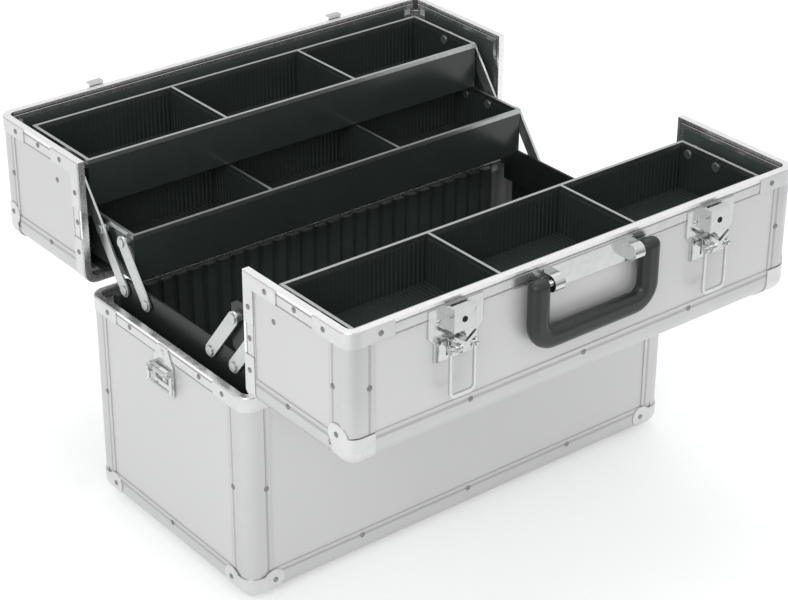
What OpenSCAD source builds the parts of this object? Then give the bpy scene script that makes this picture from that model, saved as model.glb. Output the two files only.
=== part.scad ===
// Aluminium train case: a riveted box body with two half lids hinged on its long edges,
// and three cantilever trays on parallel arms. The stored pose is the case fully open.
// Origin: centre of the footprint, on the plane that the feet stand on. +Y points to the back.

/* [Case body] */
// Outside length, left to right
case_l = 460; // [420:5:520]
// Outside depth of the body, front to back
case_d = 226; // [222:1:240]
// Height from the underside of the body to the parting plane
body_h = 192; // [150:2:260]
// Outside radius of the rounded edges
edge_r = 12; // [10:1:14]
// Reach of an edge extrusion's outer flange from its corner
flange = 24; // [18:1:26]
// Reach of the inner lips that hold the boards, past the rounded corner
inner_lip = 8; // [4:1:12]
// Sheet thickness of the aluminium extrusions
skin_t = 1; // [0.8:0.1:1.2]
// Thickness of the boards in the walls
board_t = 4; // [3:0.5:4.5]
// Thickness of the flat liner sheet
liner_t = 1; // [0.6:0.2:1.2]
// Height of the rim channel's outer skirt
rim_skirt = 14; // [14:1:18]
// Height of the rim channel's inner skirt
rim_inner = 8; // [5:1:12]
// Thickness of the rim channel's edge
rim_t = 1.2; // [0.8:0.1:2]

/* [Feet and liner ribs] */
// Height of the rubber feet
foot_h = 4; // [3:0.5:8]
// Radius of the rubber feet
foot_r = 9; // [6:1:10]
// Distance of a foot's centre from the long side
foot_inset = 22; // [22:1:40]
// Distance of a foot's centre from the end
foot_end = 38; // [30:1:80]
// Spacing of the vertical ribs on the long walls
rib_pitch = 15; // [12:1:24]
// Width of a liner rib at its root
rib_w = 11; // [6:1:11]
// How far a liner rib stands out
rib_depth = 3; // [1:0.5:4]
// Bevel of a liner rib's sides
rib_bevel = 1; // [0.2:0.2:2]

/* [Lids] */
// Height of a closed lid above the parting plane
lid_h = 130; // [128:1:150]
// Gap between the closed lid and the body
part_gap = 0.4; // [0.3:0.1:1]
// Half of the gap between the two closed lids
seam_gap = 0.2; // [0.2:0.1:0.5]
// Distance of the hinge axis outside the wall
hinge_out = 4; // [3.6:0.1:5]

/* [Hinges] */
// Length of one butt hinge
hinge_l = 70; // [50:2:90]
// Distance of a hinge's centre from the end of the case
hinge_end = 90; // [80:5:130]
// Number of knuckles on one hinge
knuckles = 5; // [3:2:7]
// Outside radius of a knuckle
knuckle_r = 3.2; // [3:0.1:3.4]
// Radius of the hinge pin
pin_r = 1.3; // [1:0.1:1.6]
// Radial clearance of a turning pin in its hole
run_fit = 0.06; // [0.03:0.01:0.1]
// Gap between neighbouring knuckles
knuckle_gap = 0.4; // [0.3:0.1:0.8]
// Thickness of a hinge leaf
leaf_t = 1.2; // [1:0.1:1.4]
// Height of a hinge leaf
leaf_h = 13; // [11:0.5:13.5]

/* [Trays] */
// Room between a tray's end and the outside of the case
end_room = 20; // [19:0.5:30]
// Depth of a tray, front to back
tray_d = 90; // [84:1:92]
// Height of a tray
tray_h = 42.5; // [30:0.5:42.5]
// Wall thickness of a tray
tray_t = 2; // [1.2:0.2:3]
// Thickness of a divider
divider_t = 1.6; // [1:0.2:3]
// Number of compartments in a tray
bays = 3; // [2:1:5]
// Width of a divider's edge trim
divider_trim = 2.6; // [2:0.2:4]
// How far the rim trim stands over the rim
trim_top = 0.8; // [0.4:0.1:0.8]
// Thickness of the trim's sides
trim_t = 0.5; // [0.3:0.1:0.6]
// Height of the trim's sides
trim_skirt = 3; // [2:0.5:3]
// Height of the pivots under a tray's rim
pivot_drop = 8; // [8:0.5:14]
// Distance of a tray's first pivot from its inner edge
pivot_inset = 10; // [8:1:14]

/* [Arms] */
// Distance between the pivots of one arm stage
arm_pitch = 55; // [50:1:55]
// Distance between two parallel arms
arm_space = 32.5; // [28:0.5:34]
// Distance of the long arms' lower pivots from the outside of the long wall
arm_inset = 33.5; // [32:0.5:37]
// Height of the lower pivots above the parting plane
arm_z = 10.5; // [9:0.5:12]
// Lean of the open rear arms from vertical, in degrees
rear_lean = 36.5; // [30:0.5:37]
// Lean of the open front arms from vertical, in degrees
front_lean = 38; // [30:0.5:38]
// Width of an arm
arm_w = 12; // [10:0.5:13]
// Thickness of an arm
arm_t = 2; // [1.5:0.5:3]
// Radius of the arm studs
stud_r = 2.5; // [2:0.1:3]
// Radius of a stud's shoulder
shoulder_r = 4; // [3.5:0.1:4.4]
// Radius of a stud's head
stud_head_r = 4.2; // [3.8:0.1:5]
// Thickness of a stud's head
stud_head_t = 1.2; // [0.8:0.1:2]
// Gap between a tray's end and the steel bracket
bracket_gap = 1; // [0.8:0.1:2]
// Thickness of the steel bracket
bracket_t = 2; // [1.5:0.5:3]
// Height of the bracket above the parting plane
bracket_top = 20; // [18:1:24]
// Reach of the bracket past the outer lower pivots
bracket_side = 11; // [8:1:11]
// Depth of the bracket's upper plate below the parting plane
bracket_step = 14; // [12:1:20]
// Length of the bracket's leg on the wall
bracket_leg = 36; // [24:2:60]
// Gap between an arm and the face it turns on
side_gap = 0.15; // [0.1:0.05:0.3]

/* [Handle] */
// Distance between the centres of the handle's legs
handle_w = 114; // [100:2:130]
// Half width of the padded grip
grip_half = 9.2; // [7.5:0.1:9.5]
// Half thickness of the padded grip
grip_t = 6.5; // [5:0.1:6.5]
// Distance from the handle's pivots to the middle of the grip
handle_drop = 46; // [40:1:60]
// Bend radius at the handle's corners
handle_bend = 15; // [11:1:18]
// Distance of the handle's pivots from the lid's edge
handle_u = 15; // [15:1:24]
// Height of the handle's pivots over the lid
handle_h = 8; // [8:0.5:12]
// Radius of the handle's pins
handle_pin_r = 2.5; // [2:0.1:3]
// Width of one handle bracket
handle_ear_w = 10; // [6:0.5:12]
// Gap between a bracket and the grip
handle_gap = 1.5; // [0.8:0.1:3]

/* [Latches] */
// Distance of a latch from the middle of the case
latch_x = 131.5; // [120:0.5:150]
// Half width of a latch's base plate
latch_half = 26; // [22:1:30]
// Half width of the base plate's narrow end
latch_neck = 20.5; // [16:0.5:21]
// Length of a latch's base plate
latch_len = 45; // [44:1:50]
// Length of the lock housing
lock_l = 19.5; // [16:0.5:20]
// Half width of the lock housing
lock_half = 10; // [9:0.5:10]
// Height of the lock housing over the lid
lock_h = 11; // [8:0.5:12]
// Radius of the lock cylinder
lock_r = 2.4; // [2:0.2:5]
// Distance of the latch pivot from the lid's edge
latch_u = 38; // [38:1:44]
// Height of the latch pivot over the lid
latch_h = 9; // [8.5:0.1:9.5]
// Radius of the latch pin
latch_pin_r = 2; // [1.5:0.1:2.2]
// Half width of the rear lid's catch
catch_half = 9; // [8:0.5:11]
// Length of the catch's plate
catch_l = 16; // [12:1:20]
// Length of the draw loop
loop_l = 42; // [36:1:42]
// Thickness of the draw loop
loop_t = 2; // [1.5:0.1:2.4]
// Width of one leg of the draw loop
loop_leg = 2.4; // [2:0.2:4]

/* [Strap rings] */
// Half width of a strap bracket's plate
strap_half = 14; // [13:1:20]
// Height of a strap bracket's plate
strap_plate = 42; // [38:1:48]
// Distance of the ring's axis outside the end
strap_out = 5; // [4.5:0.1:7]
// Depth of the ring's axis below the parting plane
strap_z = 24; // [22:0.5:26]
// Radius of the ring's wire
wire_r = 1.6; // [1.2:0.1:2]
// Half width of the ring, to its wire's centre
ring_half = 16.4; // [14:0.2:18]
// Length of the ring, between wire centres
ring_drop = 14; // [12:1:14]

/* [Hidden] */
$fn = 48;

// Walls, counted inward from the outside faces
board_in = skin_t + board_t;
wall_t = board_in + liner_t;
half_l = case_l / 2;
half_d = case_d / 2;
base_z = foot_h;
rim_z = base_z + body_h;
board_x = half_l - edge_r;
board_y = half_d - edge_r;
lip_reach = edge_r + inner_lip;

// Lids
lid_z = rim_z + part_gap;
hinge_y = half_d + hinge_out;
hinge_z = rim_z + part_gap / 2;
knuckle_l = hinge_l / knuckles;
hinge_x = half_l - hinge_end;

// Corner hardware
bar_gap = 0.5;
cap_t = 1;
cap_reach = 34;
cap_rise = 24;
cap_dip = 4;
ear_r = 10;
ear_rivet = 9;
clip_t = 0.8;
clip_leg = 42;
clip_h = 12;
clip_rivet = 29;
rivet_r = 2.4;
rivet_h = 1;
rivet_dome_r = 4;
rivet_in = 19;

// Places of the arms, across the case: tray end, bracket, arm
tray_l = case_l - 2 * end_room;
tray_x = tray_l / 2;
arm_y = half_d - arm_inset;
bracket_x = tray_x + bracket_gap;
arm_x = bracket_x + bracket_t + side_gap + 0.85;
stud_end = arm_x + arm_t + side_gap;
lower_z = rim_z + arm_z;

function stage(lean, n) = [sin(lean) * arm_pitch * n, cos(lean) * arm_pitch * n];
function outer_pivot(lean, n) = [arm_y, lower_z] + stage(lean, n);
function inner_pivot(lean, n) = outer_pivot(lean, n) - [arm_space, 0];
function far_pivot(lean, n) = outer_pivot(lean, n) + [arm_space, 0];

// ---- Placing ----

module both_ends() {
    children();
    mirror([1, 0, 0]) children();
}

module both_sides() {
    children();
    mirror([0, 1, 0]) children();
}

// Turns a closed rear lid's coordinates to its open place
module rear_open() {
    translate([0, hinge_y, hinge_z]) rotate([-90, 0, 0])
        translate([0, -hinge_y, -hinge_z]) translate([0, 0, lid_z]) children();
}

module front_open() {
    mirror([0, 1, 0]) rear_open() children();
}

// Lies a plane outline (y, z) across the case and gives it a thickness along x
module across(x, t) {
    translate([x, 0, 0]) rotate([90, 0, 90]) linear_extrude(t) children();
}

// ---- Shared shapes ----

module rounded_plan(l, d, r) {
    square([l - 2 * r, d], center = true);
    square([l, d - 2 * r], center = true);
    for (x = [-1, 1], y = [-1, 1]) {
        translate([x * (l / 2 - r), y * (d / 2 - r)]) circle(r);
    }
}

// Quadrant with its rounded corner at the origin, set in by d, and cut off at reach
module quadrant(d, reach) {
    intersection() {
        translate([edge_r, edge_r]) circle(edge_r - d);
        square(edge_r);
    }
    translate([edge_r, d]) square([reach - edge_r, reach - d]);
    translate([d, edge_r]) square([reach - d, reach - edge_r]);
}

// Section of an edge extrusion: outer skin, inner lips and two webs that stop the boards
module edge_section() {
    difference() {
        quadrant(0, flange);
        quadrant(skin_t, flange + 1);
    }
    difference() {
        quadrant(board_in, lip_reach);
        quadrant(wall_t, lip_reach + 1);
    }
    translate([edge_r - skin_t, skin_t / 2]) square([skin_t, board_t + skin_t]);
    translate([skin_t / 2, edge_r - skin_t]) square([board_t + skin_t, skin_t]);
}

module edge_bar(len) {
    linear_extrude(len) edge_section();
}

// Solid corner of a box with all three edges rounded, grown outward by g
module round_corner(g, reach) {
    r = edge_r;
    translate([r, r, r]) sphere(r + g);
    translate([r, r, r]) cylinder(h = reach - r, r = r + g);
    translate([r, r, r]) rotate([0, 90, 0]) cylinder(h = reach - r, r = r + g);
    translate([r, r, r]) rotate([-90, 0, 0]) cylinder(h = reach - r, r = r + g);
    translate([r, r, -g]) cube([reach - r, reach - r, reach + g]);
    translate([r, -g, r]) cube([reach - r, reach + g, reach - r]);
    translate([-g, r, r]) cube([reach + g, reach - r, reach - r]);
}

// Stamped cap over a corner, with rounded ears along the x and y edges
module ball_cap() {
    intersection() {
        difference() {
            round_corner(cap_t, cap_reach + 2);
            round_corner(0, cap_reach + 4);
        }
        union() {
            translate([-cap_t, -cap_t, -cap_t])
                cube([cap_reach - ear_r + cap_t, cap_reach - ear_r + cap_t, cap_rise - cap_dip + cap_t]);
            translate([cap_reach - ear_r, -cap_t, cap_rise - ear_r]) rotate([-90, 0, 0])
                cylinder(h = cap_reach, r = ear_r);
            translate([-cap_t, cap_reach - ear_r, cap_rise - ear_r]) rotate([0, 90, 0])
                cylinder(h = cap_reach, r = ear_r);
        }
    }
}

module rivet() {
    intersection() {
        cylinder(h = rivet_h, r = rivet_r);
        translate([0, 0, rivet_h - rivet_dome_r]) sphere(rivet_dome_r);
    }
}

// Rivet heads facing -y, on a face at depth y
module front_rivet(x, y, z) {
    translate([x, y, z]) rotate([90, 0, 0]) rivet();
}

// Rivet heads facing +x
module end_rivet(x, y, z) {
    translate([x, y, z]) rotate([0, 90, 0]) rivet();
}

// Thin plate wrapped round one vertical corner of the plan, in the +x +y quadrant
module corner_clip(z) {
    translate([0, 0, z]) linear_extrude(clip_h) intersection() {
        difference() {
            rounded_plan(case_l + 2 * clip_t, case_d + 2 * clip_t, edge_r + clip_t);
            rounded_plan(case_l, case_d, edge_r);
        }
        translate([half_l - clip_leg, half_d - clip_leg]) square(clip_leg + clip_t + 1);
    }
}

// ---- Case body ----

module body_front_board() {
    color("silver") translate([-board_x, -half_d + skin_t, base_z + edge_r])
        cube([2 * board_x, board_t, body_h - edge_r - rim_t]);
}

module body_rear_board() {
    color("silver") translate([-board_x, half_d - board_in, base_z + edge_r])
        cube([2 * board_x, board_t, body_h - edge_r - rim_t]);
}

module body_end_boards() {
    color("silver") both_ends() translate([half_l - board_in, -board_y, base_z + edge_r])
        cube([board_t, 2 * board_y, body_h - edge_r - rim_t]);
}

module body_floor_board() {
    color("dimgray") translate([-board_x, -board_y, base_z + skin_t])
        cube([2 * board_x, 2 * board_y, board_t]);
}

module body_corner_posts() {
    start = base_z + flange + bar_gap;
    color("lightgray") both_ends() both_sides() translate([-half_l, -half_d, start])
        edge_bar(rim_z - rim_skirt - start);
}

module body_bottom_edges() {
    long_x = half_l - flange;
    short_y = half_d - flange - bar_gap;
    color("lightgray") {
        both_sides() translate([-long_x, -half_d, base_z]) rotate([90, 0, 90]) edge_bar(2 * long_x);
        both_ends() translate([-half_l, short_y, base_z]) rotate([90, 0, 0]) edge_bar(2 * short_y);
    }
}

// Channel that closes the top edge all round
module body_rim_frame() {
    color("whitesmoke") {
        translate([0, 0, rim_z - rim_skirt]) linear_extrude(rim_skirt) difference() {
            rounded_plan(case_l, case_d, edge_r);
            rounded_plan(case_l - 2 * skin_t, case_d - 2 * skin_t, edge_r - skin_t);
        }
        translate([0, 0, rim_z - rim_t]) linear_extrude(rim_t) difference() {
            rounded_plan(case_l, case_d, edge_r);
            rounded_plan(case_l - 2 * wall_t, case_d - 2 * wall_t, edge_r - wall_t);
        }
        translate([0, 0, rim_z - rim_inner]) linear_extrude(rim_inner) difference() {
            rounded_plan(case_l - 2 * board_in, case_d - 2 * board_in, edge_r - board_in);
            rounded_plan(case_l - 2 * wall_t, case_d - 2 * wall_t, edge_r - wall_t);
        }
    }
}

module body_corner_caps() {
    color("white") both_ends() both_sides() {
        translate([-half_l, -half_d, base_z]) ball_cap();
        mirror([1, 0, 0]) mirror([0, 1, 0]) corner_clip(rim_z - clip_h - 1);
    }
}

module body_rivets() {
    mid_z = base_z + body_h * 0.54;
    low_z = base_z + rivet_in;
    rim_rivet_z = rim_z - rim_skirt / 2;
    color("white") {
        both_sides() {
            for (x = [-1, 1]) {
                front_rivet(x * (half_l - rivet_in), -half_d, mid_z);
                front_rivet(x * (half_l - cap_reach + ear_rivet), -half_d - cap_t, base_z + cap_rise - ear_r);
            }
            for (x = [-1, 0, 1]) front_rivet(x * case_l / 4, -half_d, low_z);
            front_rivet(0, -half_d, rim_rivet_z);
            for (x = [-1, 1]) front_rivet(x * (half_l - clip_rivet), -half_d - clip_t, rim_rivet_z);
        }
        both_ends() {
            for (y = [-1, 1]) {
                end_rivet(half_l, y * (half_d - rivet_in), mid_z);
                end_rivet(half_l + cap_t, y * (half_d - cap_reach + ear_rivet), base_z + cap_rise - ear_r);
                end_rivet(half_l + clip_t, y * (half_d - clip_rivet), rim_rivet_z);
                end_rivet(half_l, y * case_d * 0.225, rim_rivet_z);
                translate([half_l - wall_t - bracket_t, y * arm_y, rim_z - bracket_leg])
                    rotate([0, -90, 0]) rivet();
            }
            end_rivet(half_l, 0, low_z);
        }
    }
}

// Corrugated liner on the two long walls
module body_ribbed_liners() {
    span = half_l - lip_reach;
    count = floor((2 * span - rib_w) / rib_pitch);
    first = -count * rib_pitch / 2;
    low = base_z + edge_r;
    color([0.13, 0.15, 0.14]) both_sides() translate([0, -half_d + board_in, 0]) {
        translate([-span, 0, base_z + lip_reach])
            cube([2 * span, liner_t, body_h - lip_reach - rim_inner]);
        translate([0, liner_t, low]) linear_extrude(body_h - edge_r - rim_inner) {
            for (i = [0 : count]) translate([first + i * rib_pitch, 0]) {
                polygon([[-rib_w / 2, 0], [rib_w / 2, 0], [rib_w / 2 - rib_bevel, rib_depth],
                    [-rib_w / 2 + rib_bevel, rib_depth]]);
            }
        }
    }
}

module body_flat_liners() {
    span_y = half_d - lip_reach;
    span_x = half_l - lip_reach;
    color([0.1, 0.11, 0.11]) {
        both_ends() translate([half_l - wall_t, -span_y, base_z + lip_reach])
            cube([liner_t, 2 * span_y, body_h - lip_reach - rim_inner]);
        translate([-span_x, -span_y, base_z + board_in]) cube([2 * span_x, 2 * span_y, liner_t]);
    }
}

module body_feet() {
    color([0.1, 0.1, 0.1]) both_ends() both_sides()
        translate([half_l - foot_end, half_d - foot_inset, 0]) {
            cylinder(h = foot_h - 1, r1 = foot_r - 1, r2 = foot_r);
            translate([0, 0, foot_h - 1]) cylinder(h = 1, r = foot_r);
        }
}

// ---- Strap brackets and rings on the two ends ----

module strap_brackets() {
    top = rim_z - 2;
    low = top - strap_plate;
    under = rim_z - rim_skirt - part_gap;
    axis_x = half_l + strap_out;
    lug_t = 3;
    lug_r = 4;
    lug_in = strap_half - lug_t - 0.2;
    color("white") both_ends() {
        across(half_l, plate_top) polygon([[-strap_half, low], [strap_half, low], [strap_half, under - 2],
            [strap_half / 2, top], [-strap_half / 2, top], [-strap_half, under - 2]]);
        translate([half_l - skin_t, -strap_half + 1, low + 1])
            cube([skin_t, 2 * strap_half - 2, under - low - 1]);
        for (y = [-lug_in - lug_t, lug_in]) difference() {
            union() {
                translate([half_l, y, rim_z - strap_z - lug_r]) cube([strap_out, lug_t, 2 * lug_r]);
                translate([axis_x, y, rim_z - strap_z]) rotate([-90, 0, 0]) cylinder(h = lug_t, r = lug_r);
            }
            translate([axis_x, y - 1, rim_z - strap_z]) rotate([-90, 0, 0])
                cylinder(h = lug_t + 2, r = wire_r + run_fit);
        }
        for (y = [-1, 1]) end_rivet(half_l + plate_top, y * (strap_half - 3.5), low + 3);
        end_rivet(half_l + plate_top, 0, rim_z - rim_skirt / 2);
    }
}

// Wire ring whose top bar turns in the bracket's lugs
module strap_ring() {
    x = half_l + strap_out;
    z = rim_z - strap_z;
    color("gainsboro") {
        for (d = [0, ring_drop]) {
            translate([x, -ring_half, z - d]) rotate([-90, 0, 0]) cylinder(h = 2 * ring_half, r = wire_r);
        }
        for (y = [-ring_half, ring_half]) {
            translate([x, y, z - ring_drop]) cylinder(h = ring_drop, r = wire_r);
            for (d = [0, ring_drop]) translate([x, y, z - d]) sphere(wire_r);
        }
    }
}

module right_strap_ring() {
    strap_ring();
}

module left_strap_ring() {
    mirror([1, 0, 0]) strap_ring();
}

// ---- Hinges ----

// One row of knuckles: the even ones belong to the body, the odd ones to the lid
module knuckle_row(odd) {
    for (i = [odd : 2 : knuckles - 1]) {
        translate([-hinge_l / 2 + i * knuckle_l + knuckle_gap / 2, 0, 0]) children();
    }
}

// Leaf below the axis at the origin, with tabs up to its knuckles
module hinge_leaf(odd) {
    tab = knuckle_l - knuckle_gap;
    clear = knuckle_r + knuckle_gap;
    translate([-hinge_l / 2, -hinge_out, -leaf_h]) cube([hinge_l, leaf_t, leaf_h - clear]);
    knuckle_row(odd) {
        translate([0, -hinge_out, -clear - 1]) cube([tab, leaf_t, clear + 1]);
        rotate([0, 90, 0]) cylinder(h = tab, r = knuckle_r);
    }
}

module hinge_body_leaves() {
    color("gainsboro") both_sides() for (x = [-hinge_x, hinge_x]) translate([x, hinge_y, hinge_z]) {
        hinge_leaf(0);
        translate([-hinge_l / 2 + 1, 0, 0]) rotate([0, 90, 0]) cylinder(h = hinge_l - 2, r = pin_r);
    }
}

module lid_hinge_leaves() {
    color("gainsboro") for (x = [-hinge_x, hinge_x]) translate([x, hinge_y, hinge_z - lid_z]) difference() {
        mirror([0, 0, 1]) hinge_leaf(1);
        translate([-hinge_l / 2 - 1, 0, 0]) rotate([0, 90, 0]) cylinder(h = hinge_l + 2, r = pin_r + run_fit);
    }
}

// ---- Lids, drawn closed, with the parting plane at z = 0 and the seam at y = 0 ----

module lid_top_board() {
    color("silver") translate([-board_x, seam_gap + rim_t, lid_h - board_in])
        cube([2 * board_x, board_y - seam_gap - rim_t, board_t]);
}

module lid_wall_board() {
    color("silver") translate([-board_x, half_d - board_in, rim_t])
        cube([2 * board_x, board_t, lid_h - edge_r - rim_t]);
}

module lid_end_boards() {
    color("silver") both_ends() translate([half_l - board_in, seam_gap + rim_t, rim_t])
        cube([board_t, board_y - seam_gap - rim_t, lid_h - edge_r - rim_t]);
}

module lid_edge_bars() {
    long_x = half_l - flange;
    short_y = half_d - flange - bar_gap;
    color("lightgray") {
        both_ends() translate([-half_l, half_d, rim_skirt]) mirror([0, 1, 0])
            edge_bar(lid_h - flange - bar_gap - rim_skirt);
        both_ends() translate([-half_l, short_y, lid_h]) rotate([90, 0, 0]) mirror([0, 1, 0])
            edge_bar(short_y - seam_gap - rim_skirt);
        translate([-long_x, half_d, lid_h]) rotate([90, 0, 90]) mirror([1, 0, 0]) mirror([0, 1, 0])
            edge_bar(2 * long_x);
    }
}

// One layer of the channel round the parting plane, between two depths
module parting_ring(h, d0, d1) {
    linear_extrude(h) intersection() {
        difference() {
            rounded_plan(case_l - 2 * d0, case_d - 2 * d0, edge_r - d0);
            rounded_plan(case_l - 2 * d1, case_d - 2 * d1, edge_r - d1);
        }
        translate([-half_l - 1, seam_gap]) square([case_l + 2, case_d]);
    }
}

// One layer of the channel along the seam, between two depths
module seam_ring(h, d0, d1) {
    translate([0, seam_gap + h, 0]) rotate([90, 0, 0]) linear_extrude(h) intersection() {
        difference() {
            rounded_plan(case_l - 2 * d0, 2 * (lid_h - d0), edge_r - d0);
            rounded_plan(case_l - 2 * d1, 2 * (lid_h - d1), edge_r - d1);
        }
        translate([-half_l - 1, 0]) square([case_l + 2, lid_h + 1]);
    }
}

module lid_rim_frame() {
    color("whitesmoke") {
        parting_ring(rim_skirt, 0, skin_t);
        parting_ring(rim_t, 0, wall_t);
        parting_ring(rim_inner, board_in, wall_t);
        seam_ring(rim_skirt, 0, skin_t);
        seam_ring(rim_t, 0, wall_t);
        seam_ring(rim_inner, board_in, wall_t);
    }
}

// Clip round the seam's outer corner, in the x-z plane
module seam_clip() {
    translate([0, seam_gap + 1 + clip_h, 0]) rotate([90, 0, 0]) linear_extrude(clip_h) intersection() {
        difference() {
            rounded_plan(case_l + 2 * clip_t, 2 * (lid_h + clip_t), edge_r + clip_t);
            rounded_plan(case_l, 2 * lid_h, edge_r);
        }
        translate([half_l - clip_leg, lid_h - clip_leg]) square(clip_leg + clip_t + 1);
    }
}

module lid_corner_caps() {
    color("white") both_ends() {
        translate([half_l, half_d, lid_h]) mirror([1, 0, 0]) mirror([0, 1, 0]) mirror([0, 0, 1]) ball_cap();
        corner_clip(1);
        seam_clip();
        translate([half_l, seam_gap + 1, 1]) cube([clip_t, clip_leg, clip_h]);
        translate([half_l, seam_gap + 1, 1]) cube([clip_t, clip_h, clip_leg]);
    }
}

module top_rivet(x, y, z) {
    translate([x, y, z]) rivet();
}

module lid_rivets() {
    skirt_mid = rim_skirt / 2;
    mid_z = lid_h * 0.42;
    near_y = half_d * 0.44;
    color("white") {
        both_ends() {
            end_rivet(half_l, half_d - rivet_in, mid_z);
            translate([half_l - rivet_in, half_d, mid_z]) rotate([-90, 0, 0]) rivet();
            end_rivet(half_l, near_y, lid_h - rivet_in);
            top_rivet(half_l - rivet_in, near_y, lid_h);
            end_rivet(half_l - skin_t, half_d * 0.26, lid_h * 0.29);
            end_rivet(half_l + cap_t, half_d - cap_reach + ear_rivet, lid_h - cap_rise + ear_r);
            translate([half_l - cap_reach + ear_rivet, half_d + cap_t, lid_h - cap_rise + ear_r])
                rotate([-90, 0, 0]) rivet();
            end_rivet(half_l + clip_t, half_d - clip_rivet, skirt_mid);
            end_rivet(half_l, half_d * 0.5, skirt_mid);
            end_rivet(half_l + clip_t, seam_gap + clip_rivet, skirt_mid);
            end_rivet(half_l + clip_t, seam_gap + skirt_mid, clip_rivet);
            end_rivet(half_l + clip_t, seam_gap + skirt_mid, lid_h - clip_rivet);
            end_rivet(half_l, seam_gap + skirt_mid, lid_h / 2);
            top_rivet(half_l - clip_rivet, seam_gap + skirt_mid, lid_h + clip_t);
        }
        for (x = [-1, 0, 1]) {
            top_rivet(x * case_l / 4, half_d - rivet_in, lid_h);
            translate([x * case_l / 4, half_d, lid_h - rivet_in]) rotate([-90, 0, 0]) rivet();
        }
    }
}

module lid_liners() {
    span = half_l - lip_reach;
    far_y = half_d - lip_reach;
    near_y = seam_gap + rim_inner;
    color([0.12, 0.13, 0.13]) {
        translate([-span, half_d - wall_t, rim_inner]) cube([2 * span, liner_t, lid_h - lip_reach - rim_inner]);
        translate([-span, near_y, lid_h - wall_t]) cube([2 * span, far_y - near_y, liner_t]);
        both_ends() translate([half_l - wall_t, near_y, rim_inner])
            cube([liner_t, far_y - near_y, lid_h - lip_reach - rim_inner]);
    }
}

module rear_lid_top_board() {
    rear_open() lid_top_board();
}

module rear_lid_wall_board() {
    rear_open() lid_wall_board();
}

module rear_lid_end_boards() {
    rear_open() lid_end_boards();
}

module rear_lid_edge_bars() {
    rear_open() lid_edge_bars();
}

module rear_lid_rim_frame() {
    rear_open() lid_rim_frame();
}

module rear_lid_corner_caps() {
    rear_open() lid_corner_caps();
}

module rear_lid_rivets() {
    rear_open() lid_rivets();
}

module rear_lid_liners() {
    rear_open() lid_liners();
}

module rear_lid_hinge_leaves() {
    rear_open() lid_hinge_leaves();
}

module front_lid_top_board() {
    front_open() lid_top_board();
}

module front_lid_wall_board() {
    front_open() lid_wall_board();
}

module front_lid_end_boards() {
    front_open() lid_end_boards();
}

module front_lid_edge_bars() {
    front_open() lid_edge_bars();
}

module front_lid_rim_frame() {
    front_open() lid_rim_frame();
}

module front_lid_corner_caps() {
    front_open() lid_corner_caps();
}

module front_lid_rivets() {
    front_open() lid_rivets();
}

module front_lid_liners() {
    front_open() lid_liners();
}

module front_lid_hinge_leaves() {
    front_open() lid_hinge_leaves();
}

// ---- Handle, on the front lid's face: y is the distance from the seam, z from the face ----

plate_top = 1;
plate_u = rim_skirt + seam_gap + 0.1;
ear_x = handle_w / 2 - grip_half - handle_gap - handle_ear_w;

module on_face() {
    front_open() translate([0, seam_gap, lid_h]) children();
}

// Plate over the seam's skirt, with its outline (x, y) packed out to the board behind it
module face_plate() {
    linear_extrude(plate_top) children();
    translate([0, 0, -skin_t]) linear_extrude(skin_t) intersection() {
        children();
        translate([-case_l, plate_u]) square([2 * case_l, case_d]);
    }
}

module handle_mount() {
    mount_in = 6;
    mount_l = 20;
    bracket_r = 7;
    mount_half = ear_x + handle_ear_w;
    color("gainsboro") on_face() {
        face_plate() translate([-mount_half, mount_in]) square([2 * mount_half, mount_l]);
        both_ends() {
            across(ear_x, handle_ear_w) {
                translate([handle_u - bracket_r, plate_top]) square([2 * bracket_r, handle_h - plate_top]);
                translate([handle_u, handle_h]) circle(bracket_r);
            }
            translate([ear_x, handle_u, handle_h]) rotate([0, 90, 0])
                cylinder(h = handle_w / 2 - ear_x + 3, r = handle_pin_r);
        }
    }
}

// Flattened section of the grip, wide along x
module grip_section() {
    flat = grip_half - grip_t;
    square([2 * flat, 2 * grip_t], center = true);
    for (x = [-flat, flat]) translate([x, 0]) circle(grip_t);
}

module handle_grip() {
    leg_x = handle_w / 2;
    bar_u = handle_u + handle_drop;
    color([0.16, 0.17, 0.17]) on_face() difference() {
        union() {
            both_ends() {
                translate([leg_x, handle_u, handle_h]) rotate([0, 90, 0]) rotate_extrude() intersection() {
                    rotate(90) grip_section();
                    translate([0, -grip_half]) square([grip_t, 2 * grip_half]);
                }
                translate([leg_x, handle_u, handle_h]) rotate([-90, 0, 0])
                    linear_extrude(handle_drop - handle_bend) grip_section();
                translate([leg_x - handle_bend, bar_u - handle_bend, handle_h])
                    rotate_extrude(angle = 90) translate([handle_bend, 0]) grip_section();
            }
            translate([-leg_x + handle_bend, bar_u, handle_h]) rotate([0, 90, 0])
                linear_extrude(2 * (leg_x - handle_bend)) rotate(90) grip_section();
        }
        both_ends() translate([leg_x - grip_half - 1, handle_u, handle_h]) rotate([0, 90, 0])
            cylinder(h = grip_half + 5, r = handle_pin_r + run_fit);
    }
}

// ---- Latches ----

latch_in = 5;
lock_u = latch_in + lock_l / 2;
pivot_ear_r = 3.6;
pivot_ear_t = 1.2;
pivot_gap = 0.4;
pivot_ear_in = 5.8;
pivot_ear_out = pivot_ear_in + pivot_ear_t;
loop_in = lock_half + pivot_gap;
loop_out = loop_in + loop_leg;
latch_shoulder = 23;
shoulder_drop = 6;
plate_rivet = 11.5;
wing_high = 8.6;
wing_low = 12;

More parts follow.
